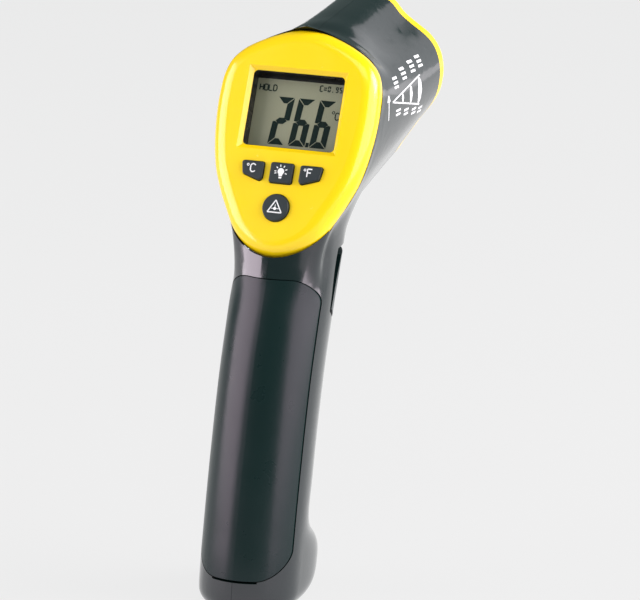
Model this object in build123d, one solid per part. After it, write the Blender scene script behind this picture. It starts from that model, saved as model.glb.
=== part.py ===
from build123d import *
import os
from math import sin, cos, tan, radians, degrees, sqrt, pi, atan2, hypot

os.makedirs("parts", exist_ok=True)

# ------------------------------------------------------------------
# Pistol-grip infrared thermometer.  Millimetres.
# Frame: origin at the centre of the flat butt of the grip, +Z up,
# +Y the way the lens points, +X the right hand of the person aiming.
# ------------------------------------------------------------------
TILT = 23.0                 # display face leans forward by this much
LCD_Y, LCD_Z = 32.5, 162.0  # centre of the display opening on its face plane
SEAT = 6.5                  # depth of the seat of the display cover below the face plane
WALL = 2.2                  # housing wall
FRONT_Y = 104.0             # front rim of the head
GRIP_X, GRIP_REAR, GRIP_FRONT = 17.3, 16.8, 19.6   # half axes of the grip section
KEEL_SLOPE, ROOF_SLOPE = 0.200, 0.134

st, ct = sin(radians(TILT)), cos(radians(TILT))


def pchip(pts):
    xs = [float(p[0]) for p in pts]
    ys = [float(p[1]) for p in pts]
    n = len(xs)
    h = [xs[i + 1] - xs[i] for i in range(n - 1)]
    d = [(ys[i + 1] - ys[i]) / h[i] for i in range(n - 1)]
    m = [0.0] * n
    m[0], m[-1] = d[0], d[-1]
    for i in range(1, n - 1):
        if d[i - 1] * d[i] > 0:
            w1 = 2 * h[i] + h[i - 1]
            w2 = h[i] + 2 * h[i - 1]
            m[i] = (w1 + w2) / (w1 / d[i - 1] + w2 / d[i])

    def f(x):
        if x <= xs[0]:
            return ys[0] + m[0] * (x - xs[0])
        if x >= xs[-1]:
            return ys[-1] + m[-1] * (x - xs[-1])
        i = 0
        while x > xs[i + 1]:
            i += 1
        t = (x - xs[i]) / h[i]
        return ((2 * t**3 - 3 * t**2 + 1) * ys[i] + (t**3 - 2 * t**2 + t) * h[i] * m[i]
                + (-2 * t**3 + 3 * t**2) * ys[i + 1] + (t**3 - t**2) * h[i] * m[i + 1])
    return f


# half widths of the display cover (along its face, half width) and of the front rim (height, half width)
COVER = [(-50, 0), (-46, 11), (-41.5, 15.5), (-35, 19.3), (-28.6, 22.6), (-21, 25.6), (-13, 27.35),
         (-6, 28.2), (1, 28.55), (8, 28.3), (14.2, 27), (17.7, 24.9), (21, 21.4), (24, 16.2), (26.4, 10.5), (28.5, 0)]
RIM = [(131, 0), (132, 5.0), (134, 8.3), (137.3, 12), (141.2, 14.5), (146.5, 18.2), (151.6, 21.7), (153.9, 23.6),
       (157.9, 26.2), (162.6, 28.0), (168, 28.5), (172.3, 27.9), (177, 25.7), (180.8, 22.2), (183.5, 18.2),
       (186.5, 14.0), (188, 12.5), (190, 10.8), (192, 8.0), (193.2, 4.6), (193.8, 0)]
cover_w2 = pchip([((d + 50) / 78.5, w * w) for d, w in COVER])
rim_w2 = pchip([((z - 131) / 62.8, w * w) for z, w in RIM])
grip_axis = pchip([(-20, 0.6), (0, 2.0), (8, 2.8), (26, 6.0), (45, 10.0), (66.4, 15.2), (82.5, 20.0),
                   (98.3, 26.0), (117.2, 33.6), (136, 41.5), (155, 50.0)])
toe = pchip([(-30, 4), (0, 7.5), (3, 9.3), (6, 11.0), (10.5, 12.0), (15, 11.0), (19, 7.8), (22.5, 3.6), (26, 0.9), (30, 0), (80, 0)])


def depth(y, z):            # depth below the display face plane
    return (y - LCD_Y) * ct - (z - LCD_Z) * st


def along(y, z):            # height along the display face plane
    return (y - LCD_Y) * st + (z - LCD_Z) * ct


def head_w2(y, z):
    d3 = depth(y, z) - SEAT
    back = 0.0
    if d3 < 0:              # behind the seat the outline is carried straight back
        y, z = y - d3 * ct, z + d3 * st
        back = -d3
        d3 = 0.0
    c = max(FRONT_Y - y, 1e-6)
    lam = min(1.0, d3 / (d3 + 0.95 * c))
    ey, ez = (1 - lam) * st, (1 - lam) * ct + lam
    sb = (z - (113.4 + (y - 18.9) * KEEL_SLOPE)) / (ez - KEEL_SLOPE * ey)
    sr = ((185.7 + (y - 49.6) * ROOF_SLOPE) - z) / (ez - ROOF_SLOPE * ey)
    if sb + sr < 15:
        return -400.0
    h = sb / (sb + sr)
    q = min(1.0, max(0.0, (h - 0.74) / 0.18))
    q = q * q * (3 - 2 * q)
    p = 1 + 0.5 * min(1.0, max(0.0, (0.72 - h) / 0.72)) + 3.4 * q
    mu = 1 - (1 - lam) ** p
    w = (1 - mu) * cover_w2(h) + mu * rim_w2(h)
    if back > 0.5 and w > 0:
        w = w * (1 - ((back - 0.5) / 7.0) ** 2) if back < 12 else -400.0
    return w


def grip_w2(y, z):
    yc = grip_axis(z)
    s = grip_axis(z + 0.5) - grip_axis(z - 0.5)
    t = (y - yc) / sqrt(1 + s * s)
    if t > 0:
        e = max(0.0, toe(z))
        a, p = GRIP_FRONT + e, 2 + 0.09 * e
    else:
        a, p = GRIP_REAR, 2.0
    u = abs(t) / a
    b = GRIP_X**2 * (max(0.0, 1 - u**p) ** (2 / p) if u < 1 else 1 - u * u)
    over = z - 134 - (y - 33) * 0.2
    if over > 0:
        b -= 6.0 * over**1.5
    return b


def width2(y, z, k=220.0):
    a, b = head_w2(y, z), grip_w2(y, z)
    g = max(0.0, k - abs(a - b)) / k
    return max(a, b) + g * g * k * 0.25


# ------------------------------------------------------------------
# sections of the outer form: each lies in a plane through a point of
# the X=0 plane, with its second axis v pointing from the inner side
# (trigger, keel) to the outer side (palm, display, roof)
# ------------------------------------------------------------------
def section(cy, cz, ang, NP, inset=0.0, shrink=0.0):
    """ang: tilt of v from straight up, degrees, positive leaning to the rear."""
    vy, vz = -sin(radians(ang)), cos(radians(ang))

    def w2(v):
        return width2(cy + v * vy, cz + v * vz)
    # ends of the section on the X=0 plane
    def end(sign):
        a = 0.0
        step = 0.5 * sign
        while w2(a + step) > 0 and abs(a) < 140:
            a += step
        lo, hi = a, a + step
        for _ in range(40):
            m = 0.5 * (lo + hi)
            if w2(m) > 0:
                lo = m
            else:
                hi = m
        return lo
    v0, v1 = end(-1), end(1)
    m = 400
    pts = []
    for i in range(m + 1):
        f = 0.5 - 0.5 * cos(pi * i / m)
        v = v0 + (v1 - v0) * f
        pts.append((sqrt(max(0.0, w2(v))), v))
    pts[0] = (0.0, v0)
    pts[-1] = (0.0, v1)
    if inset > 0:
        out = []
        for i in range(1, m):
            dx, dv = pts[i + 1][0] - pts[i - 1][0], pts[i + 1][1] - pts[i - 1][1]
            L = hypot(dx, dv)
            out.append((pts[i][0] - inset * dv / L, pts[i][1] + inset * dx / L))
        keep = []
        for q in out:
            if q[0] <= 0.02:
                continue
            if min((q[0] - p[0])**2 + (q[1] - p[1])**2 for p in pts[::2]) < (inset - 0.04)**2:
                continue
            keep.append(q)
        a0 = pts[0][1] + inset
        a1 = pts[-1][1] - inset
        keep = [(0.0, a0)] + [q for q in keep if a0 < q[1] < a1] + [(0.0, a1)]
        pts = keep
    # resample by arc length blended with height, which keeps the stations matched
    L = [0.0]
    for i in range(1, len(pts)):
        L.append(L[-1] + hypot(pts[i][0] - pts[i - 1][0], pts[i][1] - pts[i - 1][1]))
    res = []
    j = 0
    for i in range(NP):
        target = L[-1] * i / (NP - 1)
        while j < len(L) - 2 and L[j + 1] < target:
            j += 1
        f = (target - L[j]) / max(1e-9, L[j + 1] - L[j])
        res.append((pts[j][0] + f * (pts[j + 1][0] - pts[j][0]), pts[j][1] + f * (pts[j + 1][1] - pts[j][1])))
    res[0] = (0.0, pts[0][1])
    res[-1] = (0.0, pts[-1][1])
    if shrink > 0:
        vm = 0.5 * (res[0][1] + res[-1][1])
        res = [(x * (1 - shrink / GRIP_X), vm + (v - vm) * (1 - shrink / 20.0)) for x, v in res]
    P = [(x, cy + v * vy, cz + v * vz) for x, v in res]
    P += [(-x, y, z) for x, y, z in P[-2:0:-1]]
    return P


PIVOT = (63.0, 108.0)       # centre of the fan of planes at the elbow


def stations():
    out = []
    # grip: planes turn from level at the butt to square across the grip
    for z, a in [(0, 90), (9, 88), (13, 87), (17, 86), (20.5, 85.5), (24, 85), (29, 84), (38, 82.5), (50, 80), (64, 77.5), (78, 74.5), (90, 71), (99, 68.0)]:
        out.append((grip_axis(z), float(z), float(a)))
    for a in (65, 60, 55, 50, 44, 38, 32, 26, 20, 14, 8, 3):
        # a point inside the body on the plane through the pivot
        r = 34.0
        out.append((PIVOT[0] - r * sin(radians(a)), PIVOT[1] + r * cos(radians(a)), float(a)))
    for y in (66, 74, 84, 94, 101, 104):
        out.append((float(y), 158.0, 0.0))
    return out


def body_solid(sections, ruled=False):
    """solid through closed sections, each of a right and a left curve"""
    ws = []
    for P in sections:
        n = len(P) // 2 + 1
        H = [Vector(*p) for p in P[:n]]
        G = [Vector(-q.X, q.Y, q.Z) for q in H][::-1]
        ws.append(Wire([Edge.make_spline(H), Edge.make_spline(G)]))
    return Solid.make_loft(ws, ruled)


def outer_sections():
    base = [(0.0, 4.2), (0.55, 2.4), (1.6, 1.1), (3.2, 0.3), (5.5, 0.0)]
    out = [section(grip_axis(z), z, 90.0, 25, shrink=s) for z, s in base]
    return out + [section(*s, 25) for s in stations()[1:]]


def inner_sections():
    st_ = [(grip_axis(z), z, a) for z, a in ((2.7, 90.0), (13.0, 87.0), (17.0, 86.0), (21.0, 85.5), (25.0, 85.0), (30.0, 84.0), (38.0, 82.5),
                                             (50.0, 80.0), (64.0, 77.5), (78.0, 74.5), (90.0, 71.0), (99.0, 68.0))]
    st_ += [(27.5, 103.5, 68.0), (28.8, 108.0, 68.0), (30.0, 112.5, 68.0), (31.2, 117.0, 67.8)]
    st_ += [(PIVOT[0] - 34 * sin(radians(a)), PIVOT[1] + 34 * cos(radians(a)), float(a))
            for a in (67.5, 66, 64.5, 63, 61.5, 60, 57.5, 55, 52, 48, 42, 36, 30, 24, 18, 12, 6, 2)]
    st_ += [(y, 158.0, 0.0) for y in (65.0, 70.0, 76.0, 82.0, 88.0, 94.0, 99.8)]
    return [section(*q, 19, inset=WALL) for q in st_]


# ------------------------------------------------------------------
# helpers
# ------------------------------------------------------------------
FACE = Plane(origin=(0, LCD_Y, LCD_Z), x_dir=(1, 0, 0), z_dir=(0, -ct, st))   # display face plane, z out of the face
RHO = radians(21.5)                     # rake of the upper grip
NECK = (22.9, 90.0)                     # axis point of the upper grip


def yz(t, a):
    """upper grip coordinates (t to the front, a = height along the grip) to Y, Z"""
    return (NECK[0] + t * cos(RHO) + (a - 90) * sin(RHO), NECK[1] - t * sin(RHO) + (a - 90) * cos(RHO))


def box(x0, x1, y0, y1, z0, z1):
    return Solid.make_box(x1 - x0, y1 - y0, z1 - z0).moved(Location((x0, y0, z0)))


def fbox(x0, x1, y0, y1, z0, z1):
    return box(x0, x1, y0, y1, z0, z1).moved(FACE.location)


def cyl(p, d, r, h):
    return Solid.make_cylinder(r, h, Plane(origin=p, z_dir=d))


def fcyl(x, y, z0, z1, r):
    return Solid.make_cylinder(r, z1 - z0, Plane(origin=(x, y, z0), z_dir=(0, 0, 1))).moved(FACE.location)


def prism_x(pts, x0, x1):
    """polygon in the YZ plane pushed along X"""
    w = Wire.make_polygon([Vector(x0, y, z) for y, z in pts], close=True)
    return Solid.extrude(Face(w), Vector(x1 - x0, 0, 0))


def loop(pts, at):
    """closed smooth curve through (x, h) half points, both halves, placed by at(x, h)"""
    P = [at(x, h) for x, h in pts] + [at(-x, h) for x, h in pts[-2:0:-1]]
    return Face(Wire([Edge.make_spline([Vector(*p) for p in P], periodic=True)]))


def half_curve(w2, lo, hi, inset, n=30):
    m = 360
    pts = []
    for i in range(m + 1):
        f = 0.5 - 0.5 * cos(pi * i / m)
        pts.append((sqrt(max(0.0, w2(f))), lo + (hi - lo) * f))
    pts[0], pts[-1] = (0.0, lo), (0.0, hi)
    if abs(inset) > 1e-6:
        keep = []
        for i in range(1, m):
            dx, dv = pts[i + 1][0] - pts[i - 1][0], pts[i + 1][1] - pts[i - 1][1]
            L = hypot(dx, dv)
            q = (pts[i][0] - inset * dv / L, pts[i][1] + inset * dx / L)
            if q[0] > 0.02 and min((q[0] - p[0])**2 + (q[1] - p[1])**2 for p in pts[::2]) > (abs(inset) - 0.05)**2:
                keep.append(q)
        a0, a1 = lo + inset, hi - inset
        pts = [(0.0, a0)] + [q for q in keep if a0 < q[1] < a1] + [(0.0, a1)]
    L = [0.0]
    for i in range(1, len(pts)):
        L.append(L[-1] + hypot(pts[i][0] - pts[i - 1][0], pts[i][1] - pts[i - 1][1]))
    res, j = [], 0
    for i in range(n):
        target = L[-1] * i / (n - 1)
        while j < len(L) - 2 and L[j + 1] < target:
            j += 1
        f = (target - L[j]) / max(1e-9, L[j + 1] - L[j])
        res.append((pts[j][0] + f * (pts[j + 1][0] - pts[j][0]), pts[j][1] + f * (pts[j + 1][1] - pts[j][1])))
    res[0], res[-1] = (0.0, pts[0][1]), (0.0, pts[-1][1])
    return res


def cover_face(inset, z):
    f = loop(half_curve(cover_w2, -50.0, 28.5, inset), lambda x, h: (x, h, z))
    return f.moved(FACE.location)


def cover_prism(inset, z0, z1):
    n = FACE.z_dir
    return Solid.extrude(cover_face(inset, z0), n * (z1 - z0))


def rim_prism(inset, y0, y1):
    f = loop(half_curve(rim_w2, 131.0, 193.8, inset), lambda x, h: (x, y0, h))
    return Solid.extrude(f, Vector(0, y1 - y0, 0))


def rounded(poly, r, z0, z1):
    """rounded polygon in face coordinates, from z0 to z1"""
    w = Wire.make_polygon([Vector(x, y, z0) for x, y in poly], close=True)
    if r > 0:
        w = w.fillet_2d(r, w.vertices())
    return Solid.extrude(Face(w), Vector(0, 0, z1 - z0))


def grow(poly, d):
    """polygon (counter clockwise) moved outwards by d"""
    n = len(poly)
    out = []
    for i in range(n):
        x0, y0 = poly[i - 1]
        x1, y1 = poly[i]
        x2, y2 = poly[(i + 1) % n]
        a = (x1 - x0, y1 - y0)
        b = (x2 - x1, y2 - y1)
        la, lb = hypot(*a), hypot(*b)
        na, nb = (a[1] / la, -a[0] / la), (b[1] / lb, -b[0] / lb)
        k = 1 + na[0] * nb[0] + na[1] * nb[1]
        out.append((x1 + d * (na[0] + nb[0]) / k, y1 + d * (na[1] + nb[1]) / k))
    return out


def one(shape):
    """largest solid of a result"""
    if isinstance(shape, (list, tuple)):
        shape = Compound(children=list(shape))
    s = shape.solids()
    return max(s, key=lambda q: q.volume)


def save(name, *solids):
    ss = []
    for q in solids:
        ss += list(q.solids())
    c = ss[0] if len(ss) == 1 else Compound(children=ss)
    export_step(c, "parts/%s.step" % name)



# ------------------------------------------------------------------
# driving sizes of the pieces
# ------------------------------------------------------------------
SEAM = 0.05                             # half the parting line of the housing halves
RING_Y0, RING_Y1 = 99.4, 104.0          # front ring
LCD_W, LCD_H = 32.6, 25.7               # display opening
DOOR_X, DOOR_Z0, DOOR_Z1, DOOR_R = 16.1, 11.4, 108.5, 9.0
DOOR_PIN = (-10.3, 17.0)                # Y, Z of the battery door pin
TRIG = (10.0, 90.0)                     # t, a of the trigger pin
BARREL_Z, BARREL_R = 159.5, 12.0
LASER_Z = 181.3
PCB0, PCB1 = -12.2, -10.6               # circuit board, heights on the display face axis
BOSSES = [(62.0, 179.0), (88.0, 138.0), (66.0, 133.0), (20.0, 12.0)]
PCB_SCREWS = [(-13.0, 19.0), (13.0, 19.0), (0.0, -42.0)]
KEYS = {
    "key_backlight": [(-4.0, -25.2), (4.0, -25.2), (4.0, -18.3), (-4.0, -18.3)],
    "key_celsius": [(-14.4, -18.5), (-13.6, -23.0), (-7.4, -25.0), (-6.5, -24.0), (-6.5, -18.5)],
    "key_fahrenheit": [(6.5, -18.5), (6.5, -24.0), (7.4, -25.0), (13.6, -23.0), (14.4, -18.5)],
}
KEY_R = (1.4, 0.55, 0.55)
ROUND_KEY = (0.0, -33.5, 4.6)

outer = body_solid(outer_sections())
inner = body_solid(inner_sections(), ruled=True)
print("outer", outer.is_valid, round(outer.volume), "inner", inner.is_valid, round(inner.volume))

PY, PZ = DOOR_PIN
TY, TZ = yz(*TRIG)
print("trigger pin at", round(TY, 3), round(TZ, 3))


def tube(p, d, ro, ri, h):
    return one(cyl(p, d, ro, h) - cyl(p, d, ri, h))


def cut(base, *tools):
    for q in tools:
        base = base - q
    return base


def taz(pts, x0, x1):
    return prism_x([yz(*p) for p in pts], x0, x1)


# openings of the housing
trig_hole = taz([(0.5, 97.0), (30, 89.3), (30, 124.4), (11, 123.6), (0.5, 118.5)], -30, 30)


def door_prism(g):
    w = Wire.make_polygon([Vector(-DOOR_X - g, -60, DOOR_Z0 - g), Vector(DOOR_X + g, -60, DOOR_Z0 - g),
                           Vector(DOOR_X + g, -60, DOOR_Z1 + g), Vector(-DOOR_X - g, -60, DOOR_Z1 + g)], close=True)
    w = w.fillet_2d(DOOR_R + g, w.vertices())
    p = Solid.extrude(Face(w), Vector(0, 120, 0))
    rear = prism_x([(-60, 0), (grip_axis(0) - 1, 0), (grip_axis(40) - 1, 40), (grip_axis(80) - 1, 80), (grip_axis(98) - 2, 98), (grip_axis(112) - 2, 112), (-60, 112)], -40, 40)
    return one(p & rear)


door_hole = one(door_prism(0.3) + box(-8, 8, -30, 0, DOOR_Z0 - 0.8, DOOR_Z0 + 3))

# the battery lies along the grip
BT = radians(13.5)
BC = (grip_axis(54.5) + 1.0, 54.2)


def bat(x0, x1, t0, t1, a0, a1):
    b = box(x0, x1, t0, t1, a0, a1)
    return b.rotate(Axis((0, 0, 0), (1, 0, 0)), -degrees(BT)).moved(Location((0, BC[0], BC[1])))


def batc(x, t, a0, a1, r):
    c = Solid.make_cylinder(r, a1 - a0, Plane(origin=(x, t, a0), z_dir=(0, 0, 1)))
    return c.rotate(Axis((0, 0, 0), (1, 0, 0)), -degrees(BT)).moved(Location((0, BC[0], BC[1])))


def bat_yz(t, a):
    return (BC[0] + t * cos(BT) + a * sin(BT), BC[1] - t * sin(BT) + a * cos(BT))


# ------------------------------------------------------------------
# housing halves
# ------------------------------------------------------------------
seat_tool = cover_prism(-0.2, -SEAT, 22.0)
halves = {}
for side, name in ((1, "housing_right"), (-1, "housing_left")):
    x0, x1 = (SEAM, 60) if side > 0 else (-60, -SEAM)
    o = one(outer & box(x0, x1, -60, RING_Y0 - 0.12, -5, 220))
    h = one(o - inner)
    # bosses along X
    for by, bz in BOSSES:
        r = 3.2 if side > 0 else 4.0
        xx = (SEAM, 40) if side > 0 else (-40, -SEAM)
        b = cyl((xx[0], by, bz), (1, 0, 0), r, xx[1] - xx[0]) & o
        h = h + one(b)
    # trigger pin boss, door pin web
    xx = (9.4, 20) if side > 0 else (-20, -9.4)
    h = h + one(cyl((xx[0], TY, TZ), (1, 0, 0), 3.0, xx[1] - xx[0]) & o)
    xx = (SEAM, 1.7) if side > 0 else (-1.7, -SEAM)
    web = cyl((xx[0], PY, PZ), (1, 0, 0), 1.5, xx[1] - xx[0]) + box(xx[0], xx[1], PY, 30, PZ + 0.35, PZ + 2.6)
    h = h + one(one(web) & o)
    h = cut(h, seat_tool, trig_hole)
    keep = one(cyl((-1.72, PY, PZ), (1, 0, 0), 1.52, 3.44) + box(-1.72, 1.72, PY - 0.05, 30, PZ - 1.52, PZ + 2.62))
    h = h - one(door_hole - keep)
    if side < 0:
        for by, bz in BOSSES:
            h = cut(h, cyl((-40, by, bz), (1, 0, 0), 2.75, 34.0), cyl((-8, by, bz), (1, 0, 0), 1.4, 10))
    else:
        for by, bz in BOSSES:
            h = h - cyl((-1, by, bz), (1, 0, 0), 1.23, 9.0)
    h = cut(h, cyl((-12.6, TY, TZ), (1, 0, 0), 1.04, 25.2), cyl((-5, PY, PZ), (1, 0, 0), 0.84, 10))
    # pocket for the battery and its tray
    h = cut(h, bat(-13.35, 13.35, -8.85, 8.85, -24.3, 24.0), bat(-11.75, 11.75, -4.1, 10.65, -25.75, 21.2))
    h = one(h)
    halves[name] = h
    save(name, h)
    print(name, h.is_valid, round(h.volume), len(h.solids()))

screws = []
for by, bz in BOSSES:
    head = cyl((-8.0, by, bz), (1, 0, 0), 2.4, 2.0)
    sock = box(-8.1, -7.2, by - 1.9, by + 1.9, bz - 0.35, bz + 0.35) + box(-8.1, -7.2, by - 0.35, by + 0.35, bz - 1.9, bz + 1.9)
    screws.append(one((head + cyl((-6.0, by, bz), (1, 0, 0), 1.2, 13.5)) - one(sock)))
save("housing_screws", *screws)

# ------------------------------------------------------------------
# display cover with its windows, keys, board
# ------------------------------------------------------------------
cov = cover_prism(0.12, -SEAT + 0.02, 0.3)
top = [e for e in cov.edges() if abs((e @ 0.3 - FACE.origin).dot(FACE.z_dir) - 0.3) < 1e-3]
cov = cov.fillet(5.2, top)
cov = cov - cover_prism(2.5, -SEAT - 1, -2.3)
frame = fbox(-LCD_W / 2 - 1.7, LCD_W / 2 + 1.7, -LCD_H / 2 - 1.7, LCD_H / 2 + 1.7, -5.3, -2.0)
cov = cov + frame
for bx, bd in PCB_SCREWS:
    cov = cov + fcyl(bx, bd, PCB1, -2.0, 2.2)
hw, hh = LCD_W / 2, LCD_H / 2
cov = cov - rounded([(-hw, -hh), (hw, -hh), (hw, hh), (-hw, hh)], 1.6, -7, 2).moved(FACE.location)
# sloped lip round the display opening
lip = Solid.make_loft([
    Wire.make_polygon([Vector(x, y, z) for x, y in [(-hw - e, -hh - e), (hw + e, -hh - e), (hw + e, hh + e), (-hw - e, hh + e)]], close=True)
    for e, z in ((0.0, -1.1), (1.5, 0.42))]).moved(FACE.location)
cov = cov - lip
for k, poly in KEYS.items():
    cov = cov - rounded(grow(poly, 0.22), 0.8 + 0.22, -4, 2).moved(FACE.location)
cov = cov - fcyl(ROUND_KEY[0], ROUND_KEY[1], -4, 2, ROUND_KEY[2] + 0.22)
for bx, bd in PCB_SCREWS:
    cov = cov - fcyl(bx, bd, PCB1 - 1, -4.6, 1.0)
cov = one(cov)
save("display_cover", cov)
print("cover", cov.is_valid, round(cov.volume))

save("display_window", rounded([(-17.8, -14.4), (17.8, -14.4), (17.8, 14.4), (-17.8, 14.4)], 1.0, -6.32, -5.32).moved(FACE.location))
save("lcd_glass", fbox(-18.6, 18.6, -14.6, 14.8, -8.9, -6.4))
save("backlight_guide", fbox(-17.0, 17.0, -11.6, 11.6, -10.55, -8.95))
save("elastomer_strips", fbox(-16.5, 16.5, 12.2, 14.4, -10.58, -8.92), fbox(-16.5, 16.5, -14.4, -12.2, -10.58, -8.92))

# board outline: what the tapering head leaves free
pcb_pts = []
N = 26
for i in range(N + 1):
    d2 = -44.4 + (21.6 + 44.4) * i / N
    w = 99.0
    for dd in (10.4, 12.6):
        y, z = LCD_Y + d2 * st + dd * ct, LCD_Z + d2 * ct - dd * st
        w = min(w, sqrt(max(0.0, width2(y, z))))
    pcb_pts.append((max(1.0, min(w - WALL - 1.6, 23.5)), d2))
poly = [Vector(x, d, PCB0) for x, d in pcb_pts] + [Vector(-x, d, PCB0) for x, d in pcb_pts[::-1]]
pcb = Solid.extrude(Face(Wire.make_polygon(poly, close=True)), Vector(0, 0, PCB1 - PCB0)).moved(FACE.location)
for bx, bd in PCB_SCREWS:
    pcb = pcb - fcyl(bx, bd, PCB0 - 1, PCB1 + 1, 1.15)
save("main_board", one(pcb))
ps = []
for bx, bd in PCB_SCREWS:
    sh_ = one(fcyl(bx, bd, PCB0 - 0.02, -6.0, 0.97) + fcyl(bx, bd, PCB0 - 1.6, PCB0 - 0.02, 1.9))
    sh_ = sh_ - fbox(bx - 1.5, bx + 1.5, bd - 0.25, bd + 0.25, PCB0 - 1.7, PCB0 - 1.0)
    ps.append(one(sh_ - fbox(bx - 0.25, bx + 0.25, bd - 1.5, bd + 1.5, PCB0 - 1.7, PCB0 - 1.0)))
save("board_screws", *ps)

# keys: cap, flange under the face, stem; a plunger below it in a tact switch
switch_solids = []
centres = {"key_backlight": (0.0, -21.8), "key_celsius": (-10.2, -21.5), "key_fahrenheit": (10.2, -21.5), "key_laser": (0.0, -33.5)}
KEY_TOP = 1.5
for k, (cx, cy) in centres.items():
    if k == "key_laser":
        cap = fcyl(cx, cy, -3.6, KEY_TOP, ROUND_KEY[2])
        fl = fcyl(cx, cy, -3.6, -2.75, ROUND_KEY[2] + 0.7)
    else:
        cap = rounded(KEYS[k], 0.8, -3.6, KEY_TOP).moved(FACE.location)
        fl = rounded(grow(KEYS[k], 0.7), 1.2, -3.6, -2.75).moved(FACE.location)
    tops = [e for e in cap.edges() if all(abs((e @ t - FACE.origin).dot(FACE.z_dir) - KEY_TOP) < 1e-3 for t in (0, 0.5, 1))]
    cap = cap.fillet(0.45, tops)
    key = one(one(cap + fl) + fcyl(cx, cy, -6.0, -3.5, 1.5))
    save(k, key)
    pl = one(fcyl(cx, cy, -9.0, -6.0, 1.35))
    save(k.replace("key_", "plunger_"), pl)
    body = fbox(cx - 3, cx + 3, cy - 3, cy + 3, PCB1, -7.3) - fcyl(cx, cy, -10.1, -7.0, 1.42)
    switch_solids.append(one(body))
save("tact_switches", *switch_solids)
save("controller_chip", fbox(-5, 5, -3, 7, PCB0 - 1.8, PCB0))
buz = one(fcyl(12.0, -6.0, PCB0 - 4.2, PCB0, 5.0) - fcyl(12.0, -6.0, PCB0 - 4.3, PCB0 - 3.2, 0.9))
save("buzzer", buz)

# ------------------------------------------------------------------
# front end: ring, front plate, optics, laser
# ------------------------------------------------------------------
DN = Location((0, 0, -0.75))
ring = one(outer & box(-60, 60, RING_Y0, RING_Y1 - 0.001, 100, 220))
fe = [e for e in ring.edges() if all(abs((e @ t).Y - (RING_Y1 - 0.001)) < 1e-3 for t in (0.1, 0.5, 0.9))]
try:
    ring = one(ring.fillet(1.3, fe))
except Exception as ex:
    print("ring fillet skipped", ex)
ring = ring + body_solid([section(y, 158.0, 0.0, 19, inset=WALL + 0.3) for y in (96.4, RING_Y0 + 0.1)], ruled=True)
ring = cut(ring, rim_prism(3.5, RING_Y0 + 0.1, 110).moved(DN), rim_prism(4.8, 90, 110).moved(DN))
ring = one(ring)
save("front_ring", ring)
print("ring", ring.is_valid, round(ring.volume))
plate = rim_prism(3.65, RING_Y0 + 0.12, 101.4).moved(DN)
plate = cut(plate, cyl((0, 90, BARREL_Z), (0, 1, 0), 9.6, 20), cyl((0, 90, LASER_Z), (0, 1, 0), 2.5, 20))
try:
    ed = [e for e in plate.edges() if e.geom_type == GeomType.CIRCLE and abs((e @ 0.2).Y - 101.4) < 1e-3]
    plate = plate.chamfer(0.7, None, ed)
except Exception as ex:
    print("plate chamfer skipped", ex)
save("front_plate", one(plate))
bar = tube((0, 66.0, BARREL_Z), (0, 1, 0), BARREL_R, 10.2, 33.35)
bar = bar + tube((0, 88.0, BARREL_Z), (0, 1, 0), 10.3, 8.6, 1.2)
bar = bar + tube((0, 70.0, BARREL_Z), (0, 1, 0), 10.3, 5.0, 1.2)
save("optics_barrel", one(bar))
save("lens_o_ring", Solid.make_torus(9.3, 0.6, Plane(origin=(0, 89.82, BARREL_Z), z_dir=(0, 1, 0))))
lens = one(cyl((0, 90.45, BARREL_Z), (0, 1, 0), 10.1, 4.2) & Solid.make_sphere(26.0, Plane(origin=(0, 94.4 - 26.0, BARREL_Z)), angle1=-90, angle2=90, angle3=360))
save("ir_lens", lens)
lr = tube((0, 93.2, BARREL_Z), (0, 1, 0), 10.12, 8.7, 3.0)
for a in (0, 90, 180, 270):
    lr = lr - box(-0.8, 0.8, 95.4, 97, 8.4, 10.6).rotate(Axis((0, 0, 0), (0, 1, 0)), a).moved(Location((0, 0, BARREL_Z)))
# the ring stops clear of the crowned rim of the lens
lr = one(lr - cyl((0, 93.0, BARREL_Z), (0, 1, 0), 10.3, 0.9))
save("lens_ring", lr)
tp = one(cyl((0, 67.6, BARREL_Z), (0, 1, 0), 4.6, 0.8) + cyl((0, 68.3, BARREL_Z), (0, 1, 0), 4.1, 3.0))
tp = one(tp - cyl((0, 71.0, BARREL_Z), (0, 1, 0), 1.6, 1.0))
save("thermopile", tp)
save("sensor_board", cyl((0, 66.0, BARREL_Z), (0, 1, 0), 10.1, 1.55))
las = one(cyl((0, 74.0, LASER_Z), (0, 1, 0), 4.3, 24.6) - cyl((0, 92.0, LASER_Z), (0, 1, 0), 2.6, 10))
save("laser_module", las)
save("laser_window", cyl((0, 98.65, LASER_Z), (0, 1, 0), 4.2, 0.7))
clip = tube((0, 80.0, LASER_Z), (0, 1, 0), 5.4, 4.35, 8.0)
clip = one(clip + box(-2, 2, 80.0, 88.0, BARREL_Z + BARREL_R + 0.05, LASER_Z - 4.9))
save("laser_clip", clip)

# ------------------------------------------------------------------
# trigger
# ------------------------------------------------------------------
TRIG_POLY = [(2.2, 98.2), (30, 91.0), (30, 121.3), (12, 120.7), (5.6, 117.2)]
tr = one((outer & taz(TRIG_POLY, -30, 30)) - inner)
for sx in (-1, 1):
    a, b = (6.0, 8.6) if sx > 0 else (-8.6, -6.0)
    leg = taz([(7.8, 89.0), (8.6, 87.8), (11.4, 87.8), (12.4, 89.2), (16.4, 98.5), (16.4, 108), (13.0, 104)], a, b)
    leg = leg + cyl((a, TY, TZ), (1, 0, 0), 2.6, b - a)
    tr = tr + one(leg)
tr = tr + taz([(8.4, 110.0), (17.6, 108.6), (17.6, 114.8), (8.4, 113.2)], -1.6, 1.6)
tr = one(tr - cyl((-20, TY, TZ), (1, 0, 0), 1.06, 40))
save("trigger", tr)
print("trigger", tr.is_valid, round(tr.volume), len(tr.solids()))
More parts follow.
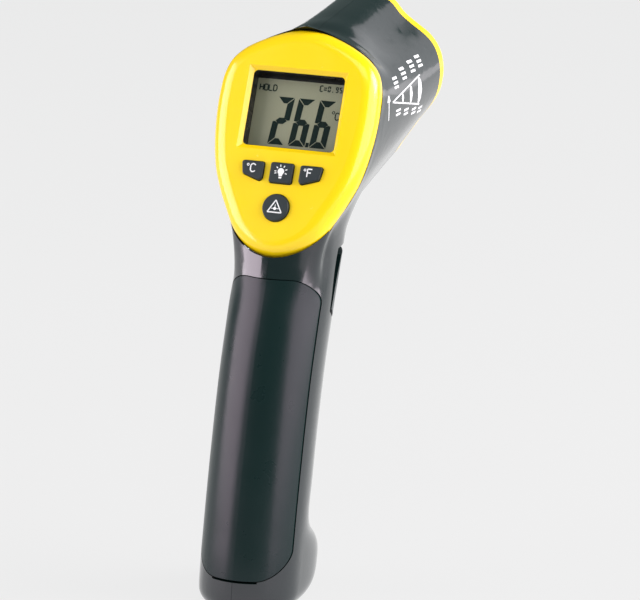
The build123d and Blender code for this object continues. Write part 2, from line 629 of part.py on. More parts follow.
save("trigger_pin", cyl((-12.5, TY, TZ), (1, 0, 0), 1.0, 25.0))
hel = Wire([Edge.make_helix(0.9, 4.5, 1.75, center=Vector(-2.25, TY, TZ), normal=Vector(1, 0, 0))])
sp_plane = Plane(origin=hel @ 0, z_dir=hel % 0)
spr = Solid.sweep(Face(Wire.make_circle(0.3, sp_plane)), hel)
save("trigger_spring", spr)
sw = one(taz([(-3.2, 107.6), (3.2, 107.6), (3.2, 115.6), (-3.2, 115.6)], -3.0, 3.0) + taz([(3.1, 110.6), (5.0, 110.9), (5.0, 112.3), (3.1, 112.6)], -1.2, 1.2))
save("trigger_switch", sw)
save("switch_board", taz([(-4.4, 104.6), (-3.25, 104.6), (-3.25, 118.6), (-4.4, 118.6)], -8.0, 8.0))

# ------------------------------------------------------------------
# battery door, battery, connector and leads
# ------------------------------------------------------------------
door = one((outer & door_prism(0.0)) - inner)
for a, b in ((2.0, 5.0), (-5.0, -2.0)):
    lug = cyl((a, PY, PZ), (1, 0, 0), 1.7, b - a) + box(a, b, PY - 1.6, PY + 0.2, PZ - 1.6, PZ + 1.6)
    door = door + one(lug)
door = door - cyl((-1.95, PY, PZ), (1, 0, 0), 1.8, 3.9)
door = door - box(-1.95, 1.95, PY - 0.2, 10, PZ - 1.8, PZ + 3.2)
door = one(door - cyl((-6, PY, PZ), (1, 0, 0), 0.86, 12))
save("battery_door", door)
print("door", door.is_valid, round(door.volume), len(door.solids()))
save("door_pin", cyl((-4.9, PY, PZ), (1, 0, 0), 0.8, 9.8))

cell = bat(-13.2, 13.2, -8.7, 8.7, -24.2, 22.2)
cell = cell.fillet(1.6, [e for e in cell.edges() if e.length > 40])
cell = one(cell + batc(-6.3, 0, 22.1, 24.2, 2.8))
cell = one(cell + batc(6.3, 0, 22.1, 24.4, 3.6))
save("battery_9v", cell)
snap = bat(-12.6, 12.6, -6.0, 6.0, 24.5, 27.4)
snap = snap.fillet(2.5, [e for e in snap.edges() if abs(e.length - 2.9) < 0.01])
save("battery_snap", snap)
tray = one(bat(-10.6, 10.6, 9.4, 10.5, -25.6, 21.0) + bat(-11.6, 11.6, -4.0, 10.5, -25.6, -24.4))
save("battery_tray", tray)
for name, x in (("battery_lead_red", -4.0), ("battery_lead_black", 4.0)):
    a = bat_yz(0.0, 27.42)
    b = bat_yz(0.0, 33.0)
    e = (LCD_Y - 36.5 * st - (PCB0 - 0.02) * ct, LCD_Z - 36.5 * ct + (PCB0 - 0.02) * st)
    f = (e[0] + 5.0 * ct, e[1] - 5.0 * st)
    pts = [(x, a[0], a[1]), (x, b[0], b[1]), (x * 1.9, 24.6, 101.0), (x * 1.7, f[0], f[1]), (x * 1.7, e[0], e[1])]
    path = FilletPolyline(*pts, radius=2.4)
    w = Wire(path.edges()) if not isinstance(path, Wire) else path
    sec = Face(Wire.make_circle(0.65, Plane(origin=w @ 0, z_dir=w % 0)))
    ld = Solid.sweep(sec, w)
    save(name, ld)
    print(name, ld.is_valid, round(ld.volume, 2), round(w.length * pi * 0.65**2, 2))
print("done")
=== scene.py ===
import bpy, bmesh, math
from math import sin, cos, radians, pi, sqrt
from mathutils import Vector, Matrix
from mathutils.bvhtree import BVHTree


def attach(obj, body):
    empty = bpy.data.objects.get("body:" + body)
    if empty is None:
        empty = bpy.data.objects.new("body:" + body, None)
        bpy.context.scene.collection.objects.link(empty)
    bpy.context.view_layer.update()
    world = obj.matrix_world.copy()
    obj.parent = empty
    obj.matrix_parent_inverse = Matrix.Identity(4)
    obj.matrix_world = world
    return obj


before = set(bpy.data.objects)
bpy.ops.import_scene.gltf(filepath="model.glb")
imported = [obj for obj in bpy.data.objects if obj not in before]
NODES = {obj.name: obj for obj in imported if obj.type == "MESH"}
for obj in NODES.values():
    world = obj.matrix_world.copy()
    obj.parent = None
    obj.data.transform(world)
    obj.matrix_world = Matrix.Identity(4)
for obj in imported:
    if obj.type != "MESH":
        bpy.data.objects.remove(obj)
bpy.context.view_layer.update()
scene = bpy.context.scene
scene.view_settings.view_transform = "Standard"
scene.view_settings.look = "None"
scene.view_settings.exposure = 0.0

# ------------------------------------------------------------------ frame of the display face
T = radians(23.0)
L = Vector((0.0, 0.0325, 0.162))
D1, D2, N = Vector((1, 0, 0)), Vector((0, sin(T), cos(T))), Vector((0, -cos(T), sin(T)))


def F(x, y, z=0.0):
    """millimetres in the display face frame to metres in the row frame"""
    return L + D1 * (x / 1000) + D2 * (y / 1000) + N * (z / 1000)


# ------------------------------------------------------------------ materials
def mat(name):
    m = bpy.data.materials.new(name)
    m.use_nodes = True
    nt = m.node_tree
    nt.nodes.clear()
    out = nt.nodes.new("ShaderNodeOutputMaterial")
    b = nt.nodes.new("ShaderNodeBsdfPrincipled")
    nt.links.new(b.outputs["BSDF"], out.inputs["Surface"])
    return m, nt, b


def noise(nt, scale, detail=4.0, rough=0.5, w=None):
    tc = nt.nodes.new("ShaderNodeTexCoord")
    n = nt.nodes.new("ShaderNodeTexNoise")
    n.inputs["Scale"].default_value = scale
    n.inputs["Detail"].default_value = detail
    n.inputs["Roughness"].default_value = rough
    nt.links.new(tc.outputs["Object"], n.inputs["Vector"])
    return n


def ramp(nt, src, p0, c0, p1, c1):
    r = nt.nodes.new("ShaderNodeValToRGB")
    r.color_ramp.elements[0].position = p0
    r.color_ramp.elements[0].color = c0
    r.color_ramp.elements[1].position = p1
    r.color_ramp.elements[1].color = c1
    nt.links.new(src, r.inputs["Fac"])
    return r


def rng(nt, src, a, b, lo=0.3, hi=0.7):
    m = nt.nodes.new("ShaderNodeMapRange")
    m.inputs["From Min"].default_value = lo
    m.inputs["From Max"].default_value = hi
    m.inputs["To Min"].default_value = a
    m.inputs["To Max"].default_value = b
    nt.links.new(src, m.inputs["Value"])
    return m


def plastic(name, c, rough=(0.2, 0.3), bump=0.02, grain=2600.0, spec=0.5, coat=0.0, sss=0.0, smear=0.12, ior=1.5, tint=None):
    """moulded plastic: faint flow colour change, handling smears in the gloss, fine moulded grain"""
    m, nt, b = mat(name)
    n1 = noise(nt, 22.0, 3.0)
    k = 1 - smear
    r = ramp(nt, n1.outputs["Fac"], 0.3, (c[0] * k, c[1] * k, c[2] * k, 1), 0.72, (min(1, c[0] * (1 + smear * .5)), min(1, c[1] * (1 + smear * .5)), min(1, c[2] * (1 + smear * .5)), 1))
    nt.links.new(r.outputs["Color"], b.inputs["Base Color"])
    n2 = noise(nt, 90.0, 6.0, 0.62)
    rr = rng(nt, n2.outputs["Fac"], rough[0], rough[1])
    nt.links.new(rr.outputs["Result"], b.inputs["Roughness"])
    n3 = noise(nt, grain, 2.0)
    n4 = noise(nt, 150.0, 2.0)
    mx = nt.nodes.new("ShaderNodeMath")
    mx.operation = "MULTIPLY_ADD"
    mx.inputs[1].default_value = 0.6
    nt.links.new(n4.outputs["Fac"], mx.inputs[0])
    nt.links.new(n3.outputs["Fac"], mx.inputs[2])
    bp = nt.nodes.new("ShaderNodeBump")
    bp.inputs["Strength"].default_value = bump
    bp.inputs["Distance"].default_value = 0.0002
    nt.links.new(mx.outputs["Value"], bp.inputs["Height"])
    nt.links.new(bp.outputs["Normal"], b.inputs["Normal"])
    b.inputs["IOR"].default_value = ior
    b.inputs["Specular IOR Level"].default_value = spec
    if tint:
        b.inputs["Specular Tint"].default_value = (*tint, 1)
    if coat:
        b.inputs["Coat Weight"].default_value = coat
        b.inputs["Coat Roughness"].default_value = 0.08
    if sss:
        b.inputs["Subsurface Weight"].default_value = sss
        b.inputs["Subsurface Radius"].default_value = (0.002, 0.0015, 0.0004)
    return m


def metal(name, c, rough=(0.2, 0.35), scale=400.0, bump=0.05):
    m, nt, b = mat(name)
    n1 = noise(nt, 60.0, 5.0)
    r = ramp(nt, n1.outputs["Fac"], 0.3, (c[0] * .85, c[1] * .85, c[2] * .85, 1), 0.7, (c[0], c[1], c[2], 1))
    nt.links.new(r.outputs["Color"], b.inputs["Base Color"])
    b.inputs["Metallic"].default_value = 1.0
    n2 = noise(nt, scale, 4.0)
    rr = rng(nt, n2.outputs["Fac"], rough[0], rough[1])
    nt.links.new(rr.outputs["Result"], b.inputs["Roughness"])
    bp = nt.nodes.new("ShaderNodeBump")
    bp.inputs["Strength"].default_value = bump
    bp.inputs["Distance"].default_value = 0.0001
    nt.links.new(n2.outputs["Fac"], bp.inputs["Height"])
    nt.links.new(bp.outputs["Normal"], b.inputs["Normal"])
    return m


M = {}
M["housing"] = plastic("housing_gloss", (0.004, 0.014, 0.013), (0.13, 0.19), 0.012, 1900, 0.75, 0.55, tint=(1.0, 0.84, 0.96))
M["door"] = plastic("door_satin", (0.004, 0.017, 0.0155), (0.26, 0.32), 0.012, 2600, 0.36, tint=(1.0, 0.82, 0.95))
M["trigger"] = plastic("trigger_satin", (0.004, 0.016, 0.015), (0.24, 0.34), 0.05, 2600, 0.55, tint=(1.0, 0.82, 0.95))
M["yellow"] = plastic("cover_yellow", (0.94, 0.645, 0.003), (0.2, 0.28), 0.02, 2200, 0.5, 0.35, 0.0, 0.03)
M["key"] = plastic("key_rubber", (0.012, 0.02, 0.024), (0.42, 0.55), 0.08, 3200, 0.4)
M["board"] = plastic("board_green", (0.012, 0.09, 0.035), (0.3, 0.45), 0.1, 900, 0.5)
M["moulded"] = plastic("moulded_black", (0.02, 0.02, 0.02), (0.4, 0.55), 0.08, 2600, 0.4)
M["white"] = plastic("diffuser_white", (0.8, 0.8, 0.77), (0.4, 0.5), 0.05, 2000, 0.4, smear=0.04)
M["rubber_grey"] = plastic("rubber_grey", (0.2, 0.2, 0.21), (0.6, 0.75), 0.1, 2400, 0.3)
M["o_ring"] = plastic("nitrile_black", (0.015, 0.015, 0.015), (0.45, 0.6), 0.1, 2600, 0.35)
M["red"] = plastic("lead_red", (0.5, 0.015, 0.01), (0.35, 0.45), 0.05, 1500, 0.4)
M["black"] = plastic("lead_black", (0.02, 0.02, 0.02), (0.35, 0.45), 0.05, 1500, 0.4)
M["steel"] = metal("screw_steel", (0.6, 0.6, 0.6))
M["pin"] = metal("pin_steel", (0.75, 0.75, 0.76), (0.12, 0.22))
M["brass"] = metal("laser_brass", (0.75, 0.55, 0.22), (0.2, 0.32))
M["anod"] = metal("barrel_anodised", (0.05, 0.05, 0.055), (0.32, 0.45))
M["legend"] = plastic("legend_white", (0.82, 0.82, 0.83), (0.4, 0.55), 0.05, 2600, 0.4, smear=0.05)
M["ink"] = plastic("lcd_segment", (0.006, 0.02, 0.017), (0.45, 0.5), 0.0, 900, 0.1)
# black satin for painted shade on the display opening walls and for the band round the display, whose wide top band is
# painted shadow
M["mask"] = plastic("display_mask_black", (0.012, 0.011, 0.01), (0.2, 0.3), 0.02, 2200, 0.5)


def lcd_material():
    m, nt, b = mat("lcd_cell")
    n1 = noise(nt, 45.0, 3.0)
    r = ramp(nt, n1.outputs["Fac"], 0.3, (0.40, 0.41, 0.275, 1), 0.7, (0.45, 0.455, 0.315, 1))
    nt.links.new(r.outputs["Color"], b.inputs["Base Color"])
    n2 = noise(nt, 3000.0, 2.0)
    rr = rng(nt, n2.outputs["Fac"], 0.3, 0.42)
    nt.links.new(rr.outputs["Result"], b.inputs["Roughness"])
    return m


def window_material():
    m, nt, b = mat("window_acrylic")
    b.inputs["Base Color"].default_value = (0.02, 0.022, 0.02, 1)
    n2 = noise(nt, 240.0, 4.0)
    rr = rng(nt, n2.outputs["Fac"], 0.03, 0.07)
    nt.links.new(rr.outputs["Result"], b.inputs["Roughness"])
    b.inputs["Alpha"].default_value = 0.12
    return m


def lens_material():
    m, nt, b = mat("ir_lens_coated")
    n1 = noise(nt, 30.0, 2.0)
    r = ramp(nt, n1.outputs["Fac"], 0.3, (0.03, 0.025, 0.05, 1), 0.7, (0.05, 0.03, 0.07, 1))
    nt.links.new(r.outputs["Color"], b.inputs["Base Color"])
    n2 = noise(nt, 200.0, 3.0)
    rr = rng(nt, n2.outputs["Fac"], 0.04, 0.09)
    nt.links.new(rr.outputs["Result"], b.inputs["Roughness"])
    b.inputs["Specular IOR Level"].default_value = 0.9
    b.inputs["IOR"].default_value = 2.0
    return m


def laser_glass():
    m, nt, b = mat("laser_window_red")
    n1 = noise(nt, 60.0, 2.0)
    r = ramp(nt, n1.outputs["Fac"], 0.3, (0.2, 0.01, 0.012, 1), 0.7, (0.28, 0.015, 0.02, 1))
    nt.links.new(r.outputs["Color"], b.inputs["Base Color"])
    n2 = noise(nt, 300.0, 3.0)
    rr = rng(nt, n2.outputs["Fac"], 0.05, 0.1)
    nt.links.new(rr.outputs["Result"], b.inputs["Roughness"])
    return m




def battery_material():
    """lacquered can in two colours, the upper third copper"""
    m = plastic("battery_lacquer", (0.03, 0.03, 0.035), (0.18, 0.3), 0.03, 600, 0.5, 0.4)
    nt = m.node_tree
    b = [n for n in nt.nodes if n.type == "BSDF_PRINCIPLED"][0]
    tc = nt.nodes.new("ShaderNodeTexCoord")
    sp = nt.nodes.new("ShaderNodeSeparateXYZ")
    nt.links.new(tc.outputs["Object"], sp.inputs["Vector"])
    r = nt.nodes.new("ShaderNodeValToRGB")
    r.color_ramp.interpolation = "CONSTANT"
    r.color_ramp.elements[0].position = 0.0
    r.color_ramp.elements[0].color = (0.02, 0.02, 0.022, 1)
    r.color_ramp.elements[1].position = 0.62
    r.color_ramp.elements[1].color = (0.45, 0.2, 0.06, 1)
    mr = nt.nodes.new("ShaderNodeMapRange")
    mr.inputs["From Min"].default_value = 0.03
    mr.inputs["From Max"].default_value = 0.08
    nt.links.new(sp.outputs["Z"], mr.inputs["Value"])
    nt.links.new(mr.outputs["Result"], r.inputs["Fac"])
    nt.links.new(r.outputs["Color"], b.inputs["Base Color"])
    return m


M["can"] = battery_material()
M["lcd"] = lcd_material()
M["window"] = window_material()
M["lens"] = lens_material()
M["laser"] = laser_glass()

NODE_MAT = {
    "housing_right": "housing", "housing_left": "housing", "housing_screws": "steel", "display_cover": "yellow",
    "display_window": "window", "lcd_glass": "lcd", "backlight_guide": "white", "elastomer_strips": "rubber_grey",
    "main_board": "board", "board_screws": "steel", "tact_switches": "moulded", "controller_chip": "moulded", "buzzer": "moulded",
    "front_ring": "yellow", "front_plate": "moulded", "optics_barrel": "anod", "lens_o_ring": "o_ring", "ir_lens": "lens",
    "lens_ring": "anod", "thermopile": "pin", "sensor_board": "board", "laser_module": "brass", "laser_window": "laser",
    "laser_clip": "moulded", "trigger": "trigger", "trigger_pin": "pin", "trigger_spring": "steel", "trigger_switch": "moulded",
    "switch_board": "board", "battery_door": "door", "door_pin": "pin", "battery_9v": "can", "battery_snap": "moulded",
    "battery_tray": "moulded", "battery_lead_red": "red", "battery_lead_black": "black",
    "key_celsius": "key", "key_backlight": "key", "key_fahrenheit": "key", "key_laser": "key",
    "plunger_celsius": "moulded", "plunger_backlight": "moulded", "plunger_fahrenheit": "moulded", "plunger_laser": "moulded",
}
for n, o in NODES.items():
    m = M[NODE_MAT[n]]
    if not o.material_slots:
        o.data.materials.append(m)
    for s in o.material_slots:
        s.material = m


# ------------------------------------------------------------------ printed and shown marks
def new_mesh(name, verts, faces, m, body, thick=None):
    me = bpy.data.meshes.new(name)
    me.from_pydata([tuple(v) for v in verts], [], faces)
    me.update()
    me.materials.append(m)
    ob = bpy.data.objects.new(name, me)
    bpy.context.collection.objects.link(ob)
    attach(ob, body)
    return ob


def slab(polys, place, z0, z1, name, m, body):
    """closed thin solids from flat polygons (lists of (x, y)), placed by place(x, y, z)"""
    V, Fc = [], []
    for p in polys:
        area = sum(p[i - 1][0] * p[i][1] - p[i][0] * p[i - 1][1] for i in range(len(p)))
        if area < 0:
            p = p[::-1]
        k, b = len(p), len(V)
        V += [place(x, y, z0) for x, y in p] + [place(x, y, z1) for x, y in p]
        Fc.append([b + i for i in range(k)][::-1])
        Fc.append([b + k + i for i in range(k)])
        for i in range(k):
            j = (i + 1) % k
            Fc.append([b + i, b + j, b + k + j, b + k + i])
    return new_mesh(name, V, Fc, m, body)


def stroke(pts, w, closed=False):
    """polygons of a stroked polyline, one quad a run; the quads are not mitred and overlap a little at the joints"""
    out = []
    n = len(pts)
    runs = n if closed else n - 1
    for i in range(runs):
        (x0, y0), (x1, y1) = pts[i], pts[(i + 1) % n]
        dx, dy = x1 - x0, y1 - y0
        l = sqrt(dx * dx + dy * dy)
        dx, dy = dx / l, dy / l
        nx, ny = -dy * w / 2, dx * w / 2
        e = w * 0.5
        out.append([(x0 - dx * 0 + nx, y0 + ny), (x0 - nx, y0 - ny), (x1 - nx + dx * 0, y1 - ny), (x1 + nx, y1 + ny)])
    return out


def ring_poly(cx, cy, r, w, n=28, a0=0, a1=360):
    out = []
    for i in range(n):
        a, b = radians(a0 + (a1 - a0) * i / n), radians(a0 + (a1 - a0) * (i + 1) / n)
        out.append([(cx + (r - w / 2) * cos(a), cy + (r - w / 2) * sin(a)), (cx + (r + w / 2) * cos(a), cy + (r + w / 2) * sin(a)),
                    (cx + (r + w / 2) * cos(b), cy + (r + w / 2) * sin(b)), (cx + (r - w / 2) * cos(b), cy + (r - w / 2) * sin(b))])
    return out


# seven segment digits, slanted
SEG = {"0": "abcdef", "1": "bc", "2": "abged", "3": "abgcd", "4": "fgbc", "5": "afgcd", "6": "afgedc", "7": "abc", "8": "abcdefg", "9": "abcdfg"}


def digit(ch, x0, y0, w, h, t, slant=0.11, gap=0.18):
    polys = []

    def S(x, y):
        return (x0 + x + slant * y, y0 + y)
    g = gap
    hh = h / 2
    seg = {
        "a": [(g, h), (w - g, h), (w - g - t, h - t), (g + t, h - t)],
        "d": [(g + t, t), (w - g - t, t), (w - g, 0), (g, 0)],
        "f": [(0, h - g), (t, h - g - t), (t, hh + g + t * .4), (t * .4, hh + g), (0, hh + g + .2)],
        "b": [(w, h - g), (w, hh + g + .2), (w - t * .4, hh + g), (w - t, hh + g + t * .4), (w - t, h - g - t)],
        "e": [(0, g), (0, hh - g - .2), (t * .4, hh - g), (t, hh - g - t * .4), (t, g + t)],
        "c": [(w, g), (w - t, g + t), (w - t, hh - g - t * .4), (w - t * .4, hh - g), (w, hh - g - .2)],
        "g": [(g + t * .35, hh), (g + t * .9, hh + t / 2), (w - g - t * .9, hh + t / 2), (w - g - t * .35, hh), (w - g - t * .9, hh - t / 2), (g + t * .9, hh - t / 2)],
    }
    for s in SEG[ch]:
        polys.append([S(x, y) for x, y in seg[s]])
    return polys


LETTER = {   # strokes on a 0..1 by 0..1.6 cell
    "H": [[(0, 0), (0, 1.6)], [(1, 0), (1, 1.6)], [(0, .8), (1, .8)]],
    "O": [[(0, .1), (0, 1.5)], [(0, 1.6), (1, 1.6)], [(1, 1.5), (1, .1)], [(1, 0), (0, 0)]],
    "L": [[(0, 1.6), (0, 0)], [(0, 0), (1, 0)]],
    "D": [[(0, 0), (0, 1.6)], [(0, 1.6), (.7, 1.6)], [(.7, 1.6), (1, 1.2)], [(1, 1.2), (1, .4)], [(1, .4), (.7, 0)], [(.7, 0), (0, 0)]],
    "C": [[(1, 1.35), (.7, 1.6)], [(.7, 1.6), (.3, 1.6)], [(.3, 1.6), (0, 1.25)], [(0, 1.25), (0, .35)], [(0, .35), (.3, 0)], [(.3, 0), (.7, 0)], [(.7, 0), (1, .25)]],
    "F": [[(0, 0), (0, 1.6)], [(0, 1.6), (1, 1.6)], [(0, .85), (.8, .85)]],
    "E": [[(1, 1.5), (.4, 1.6)], [(.4, 1.6), (0, 1.2)], [(0, 1.2), (.3, .85)], [(.3, .85), (0, .4)], [(0, .4), (.4, 0)], [(.4, 0), (1, .1)]],
    "=": [[(0, 1.05), (1, 1.05)], [(0, .5), (1, .5)]],
    ".": [[(.3, .1), (.55, .1)]],
}


def text(s, x, y, h, w, t, gap=0.35):
    k = h / 1.6
    out = []
    for ch in s:
        if ch == " ":
            x += w * 0.6
            continue
        if ch in SEG:
            out += digit(ch, x, y, w, h, t, 0.0, 0.05)
        else:
            for run in LETTER[ch]:
                p = [(x + a * w, y + b * k) for a, b in run]
                out += stroke(p, t)
        x += w + gap * w
    return out


def place_lcd(x, y, z):
    return F(x, y, z)


lcd_polys = []
DW, DH, DT = 5.9, 16.4, 2.15
SL = 0.085
for ch_, x0_ in (("2", -9.6), ("6", -2.2), ("6", 5.3)):
    lcd_polys += digit(ch_, x0_, -10.9, DW, DH, DT, SL)
lcd_polys.append([(3.95, -10.9), (5.05, -10.9), (5.2, -9.3), (4.1, -9.3)])
lcd_polys += text("HOLD", -15.4, 7.3, 2.0, 1.2, 0.42)
lcd_polys += text("E=0.95", 5.9, 8.5, 2.0, 1.08, 0.42, 0.3)
lcd_polys += ring_poly(12.1, 1.7, 0.42, 0.28, 12)
lcd_polys += text("C", 12.9, -0.7, 2.4, 1.3, 0.4)
slab(lcd_polys, place_lcd, -6.395, -6.36, "lcd_segments", M["ink"], "housing")

# painted shade: black liner on the walls of the display opening, which stand in shade, and a black band round the
# display, its wide top band painted shadow of the top lip and its narrow side and bottom bands the display's own black
# edge
HW, HH, LT = 16.3, 12.85, 0.12


def ring_wall(name, hw, hh, t, za, zb, m, body, rc=1.6, nseg=6):
    """closed tube of thickness t just inside a rounded rectangle, from za to zb"""
    def outline(d):
        pts = []
        r = rc - d
        for cx, cy, a0 in ((hw - rc, hh - rc, 0), (-hw + rc, hh - rc, 90), (-hw + rc, -hh + rc, 180), (hw - rc, -hh + rc, 270)):
            for k in range(nseg + 1):
                a = radians(a0 + 90 * k / nseg)
                pts.append((cx + r * cos(a), cy + r * sin(a)))
        return pts
    o, i_ = outline(0.0), outline(t)
    n = len(o)
    V = [F(x, y, za) for x, y in o] + [F(x, y, zb) for x, y in o] + [F(x, y, zb) for x, y in i_] + [F(x, y, za) for x, y in i_]
    Fc = []
    for k in range(n):
        q = (k + 1) % n
        for a, b in ((0, 1), (1, 2), (2, 3), (3, 0)):
            Fc.append([a * n + k, a * n + q, b * n + q, b * n + k])
    return new_mesh(name, V, Fc, m, body)


# painted shade: thin black tube over the walls of the display opening, which stand in shade
ring_wall("display_mask", HW - 0.01, HH - 0.01, LT, -5.28, -1.25, M["mask"], "housing")
# painted shadow and black edge: the wide top band is painted shadow of the opening's top lip; the narrow side and
# bottom bands are the display's own black edge
lcd_edge_and_lip_shadow = [[(-16.5, 11.3), (16.5, 11.3), (16.5, 13.4), (-16.5, 13.4)], [(-16.5, -13.4), (16.5, -13.4), (16.5, -12.75), (-16.5, -12.75)],
          [(-17.4, -13.4), (-16.5, -13.4), (-16.5, 13.4), (-17.4, 13.4)], [(16.5, -13.4), (17.4, -13.4), (17.4, 13.4), (16.5, 13.4)]]
slab(lcd_edge_and_lip_shadow, place_lcd, -6.395, -6.365, "display_edge_and_painted_shadow", M["mask"], "housing")

# key legends, printed on the caps (caps end 1.5 mm out of the face plane)
Z0, Z1 = 1.495, 1.53


def legend(name, polys, body):
    slab(polys, place_lcd, Z0, Z1, name, M["legend"], body)


legend("legend_celsius", ring_poly(-11.9, -20.0, 0.34, 0.24, 14) + text("C", -10.9, -22.3, 2.7, 1.7, 0.42), "celsius_key")
legend("legend_fahrenheit", ring_poly(8.4, -20.0, 0.34, 0.24, 14) + text("F", 9.3, -22.3, 2.7, 1.6, 0.42), "fahrenheit_key")
lamp = [[(1.15 * cos(radians(a)), -21.3 + 1.15 * sin(radians(a))) for a in range(-50, 231, 20)] + [(-0.55, -22.9), (0.55, -22.9)]]
lamp.append([(-0.55, -23.1), (0.55, -23.1), (0.45, -23.7), (-0.45, -23.7)])
for a in (-20, 20, 60, 100, 140, 180, 200):
    ca, sa = cos(radians(a)), sin(radians(a))
    lamp += stroke([(1.6 * ca, -21.3 + 1.6 * sa), (2.3 * ca, -21.3 + 2.3 * sa)], 0.34)
legend("legend_backlight", lamp, "backlight_key")
tri = [(0, -31.0), (-2.5, -35.2), (2.5, -35.2)]
burst = stroke([tri[0], tri[1]], 0.4) + stroke([tri[1], tri[2]], 0.4) + stroke([tri[2], tri[0]], 0.4)
burst.append([(0.55 * cos(radians(a)), -33.9 + 0.55 * sin(radians(a))) for a in range(0, 360, 30)])
burst += stroke([(0.5, -33.9), (1.5, -33.9)], 0.22) + stroke([(-0.5, -33.9), (-1.3, -33.9)], 0.22) + stroke([(0, -33.4), (0, -32.5)], 0.22)
legend("legend_laser", burst, "laser_key")

# distance and spot diagram on the right side of the head, laid on the housing
dg = bpy.context.evaluated_depsgraph_get()


def tree(o):
    me = o.data
    return BVHTree.FromPolygons([o.matrix_world @ v.co for v in me.vertices], [tuple(p.vertices) for p in me.polygons])


right_tree = tree(NODES["housing_right"])


def on_side(y, z, lift):
    hit = right_tree.ray_cast(Vector((0.08, y / 1000, z / 1000)), Vector((-1, 0, 0)))
    if hit[0] is None:
        return Vector((0.028, y / 1000, z / 1000))
    return hit[0] + hit[1].normalized() * (lift / 1000)


def side_decal(name, polys):
    V, Fc = [], []
    for p in polys:
        b = len(V)
        k = len(p)
        V += [on_side(y, z, -0.02) for y, z in p] + [on_side(y, z, 0.03) for y, z in p]
        Fc.append([b + k + i for i in range(k)])
        Fc.append([b + i for i in range(k)][::-1])
        for i in range(k):
            j = (i + 1) % k
            Fc.append([b + i, b + j, b + k + j, b + k + i])
    ob = new_mesh(name, V, Fc, M["legend"], "housing")
    bm = bmesh.new()
    bm.from_mesh(ob.data)
    bmesh.ops.recalc_face_normals(bm, faces=bm.faces)
    bm.to_mesh(ob.data)
    bm.free()
    return ob


dec = []
ay, az = 51.8, 163.9      # apex of the cone
for slope in (0.175, -0.19):
    dec += stroke([(ay, az), (ay + 14, az + 14 * slope), (ay + 28, az + 28 * slope)], 0.5)
for d, wdt in ((9.5, 3.0), (17.5, 4.2), (26.0, 6.0)):
    hgt = d * 0.178
    arc = [(ay + d + wdt * 0.5 * cos(radians(a)), az - 0.01 * d + hgt * sin(radians(a))) for a in range(-90, 91, 15)]
    arc += [(ay + d - wdt * 0.12 * cos(radians(a)), az - 0.01 * d + hgt * sin(radians(a))) for a in range(75, -76, -15)]
    dec.append(arc)
for y, z in ((5.0, 3.9), (13.8, 5.6), (22.8, 6.6), (30.2, 7.2)):
    for k in (0.0, 1.5, 3.0):
        dec.append([(ay + y - 2.0, az + z + k), (ay + y + 2.0, az + z + k), (ay + y + 2.0, az + z + k + 0.8), (ay + y - 2.0, az + z + k + 0.8)])
for y, z in ((5.8, -5.4), (14.0, -6.6), (22.6, -7.8), (30.0, -8.6)):
    for k in (0.0, 1.4):
        dec.append([(ay + y - 2.2, az + z + k), (ay + y + 2.2, az + z + k), (ay + y + 2.2, az + z + k + 0.75), (ay + y - 2.2, az + z + k + 0.75)])
dec += stroke([(ay - 3.7, az + 1.0), (ay - 3.7, az - 5.6)], 0.5)
dec.append([(ay - 5.2, az + 0.6), (ay - 2.2, az + 0.6), (ay - 3.7, az + 3.4)])


def cells(p, dy=0.55, dz=0.8):
    """narrow quads that fill a flat polygon, so that a printed mark follows the curved side"""
    ys = [q[0] for q in p]
    out, y, k = [], min(ys), len(p)

    def cuts(y):
        c = []
        for i in range(k):
            (y0, z0), (y1, z1) = p[i], p[(i + 1) % k]
            if (y0 <= y < y1) or (y1 <= y < y0):
                c.append(z0 + (z1 - z0) * (y - y0) / (y1 - y0))
        return sorted(c)
    n = max(1, int((max(ys) - y) / dy + 0.5))
    st = (max(ys) - y) / n
    for i in range(n):
        a, b = y + st * i, y + st * (i + 1)
        ca, cb = cuts(a + 1e-4), cuts(b - 1e-4)
        if len(ca) != len(cb) or not ca:
            ca = cb = cuts((a + b) / 2)
        for j in range(0, len(ca) - 1, 2):
            m = max(1, int(max(ca[j + 1] - ca[j], cb[j + 1] - cb[j]) / dz + 0.5))
            for q in range(m):
                f, g = q / m, (q + 1) / m
                out.append([(a, ca[j] + (ca[j + 1] - ca[j]) * f), (b, cb[j] + (cb[j + 1] - cb[j]) * f),
                            (b, cb[j] + (cb[j + 1] - cb[j]) * g), (a, ca[j] + (ca[j + 1] - ca[j]) * g)])
    return out


side_decal("side_diagram", [c for p in dec for c in cells(p)])

# ------------------------------------------------------------------ stage
fl = bpy.data.meshes.new("floor")
R = 6.0
fl.from_pydata([(-R, -R, 0), (R, -R, 0), (R, R, 0), (-R, R, 0)], [], [(0, 1, 2, 3)])
floor = bpy.data.objects.new("floor", fl)
bpy.context.collection.objects.link(floor)
m, nt, b = mat("floor_paper")
n1 = noise(nt, 3.0, 2.0)
r = ramp(nt, n1.outputs["Fac"], 0.3, (0.039, 0.039, 0.039, 1), 0.7, (0.042, 0.042, 0.042, 1))
nt.links.new(r.outputs["Color"], b.inputs["Base Color"])
b.inputs["Emission Color"].default_value = (1, 1, 1, 1)
b.inputs["Emission Strength"].default_value = 0.797
b.inputs["Roughness"].default_value = 0.9
b.inputs["Specular IOR Level"].default_value = 0.1
floor.data.materials.append(m)

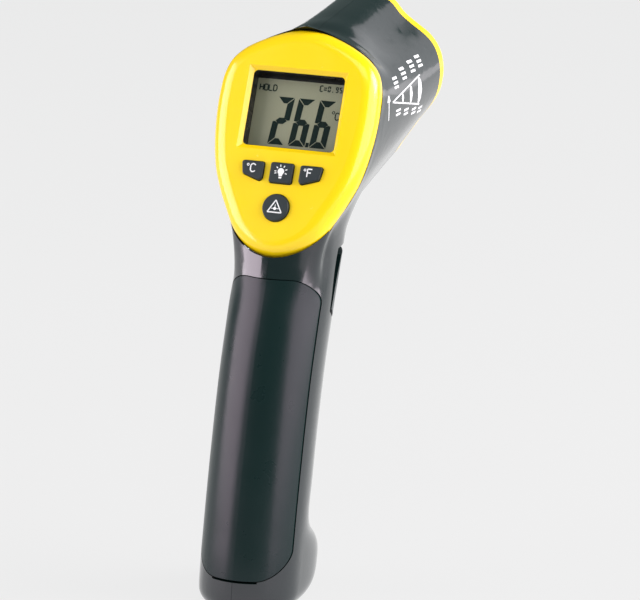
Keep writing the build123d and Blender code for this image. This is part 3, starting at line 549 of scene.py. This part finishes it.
world = bpy.data.worlds.new("studio")
scene.world = world
world.use_nodes = True
bg = world.node_tree.nodes["Background"]
bg.inputs["Color"].default_value = (0.8, 1.0, 0.98, 1)
bg.inputs["Strength"].default_value = 0.14

RV = Vector((0.931088, 0.364149, 0.021669))
UV = Vector((-0.088668, 0.168294, 0.981741))
FV = Vector((-0.353854, 0.916009, -0.188985))
ch = Vector((-FV.x, -FV.y, 0)).normalized()
rh = Vector((-ch.y, ch.x, 0))
if rh.dot(RV) < 0:
    rh = -rh
AIM = Vector((0, 0.035, 0.11))


def softbox(name, az, el, dist, w, h, radiance, col=(1, 1, 1)):
    d = (ch * cos(radians(az)) + rh * sin(radians(az))) * cos(radians(el)) + Vector((0, 0, 1)) * sin(radians(el))
    lt = bpy.data.lights.new(name, "AREA")
    lt.shape = "RECTANGLE"
    lt.size, lt.size_y = w, h
    lt.energy = radiance * w * h * pi
    lt.color = col
    ob = bpy.data.objects.new(name, lt)
    bpy.context.collection.objects.link(ob)
    ob.location = AIM + d * dist
    ob.rotation_euler = (-d).to_track_quat("-Z", "Y").to_euler()
    return ob


softbox("flank_right", 66, 14, 1.3, 1.75, 1.5, 3.6, (1.0, 0.96, 0.99))
softbox("flank_left", -80, 15, 1.3, 1.2, 1.0, 5.2, (1.0, 0.95, 0.99))
softbox("strip_right", 88, 34, 1.2, 0.7, 0.7, 9.0, (1.0, 0.96, 0.99))
softbox("side_right", 138, 10, 1.5, 1.3, 1.3, 0.65, (1.0, 0.97, 1.0))
softbox("over_camera", 0, 62, 1.5, 0.9, 0.7, 2.0)

cam_data = bpy.data.cameras.new("camera")
cam = bpy.data.objects.new("camera", cam_data)
bpy.context.collection.objects.link(cam)
scene.camera = cam
cam_data.sensor_width = 36.0
cam_data.lens = 3900 / 640 * 36.0
cam_data.clip_end = 50
C = L - FV * 1.3
f2 = (FV * 3900 + RV * 27.22 - UV * 189.84).normalized()
r2 = f2.cross(UV).normalized()
u2 = r2.cross(f2).normalized()
mw = Matrix(((r2.x, u2.x, -f2.x, C.x), (r2.y, u2.y, -f2.y, C.y), (r2.z, u2.z, -f2.z, C.z), (0, 0, 0, 1)))
cam.matrix_world = mw
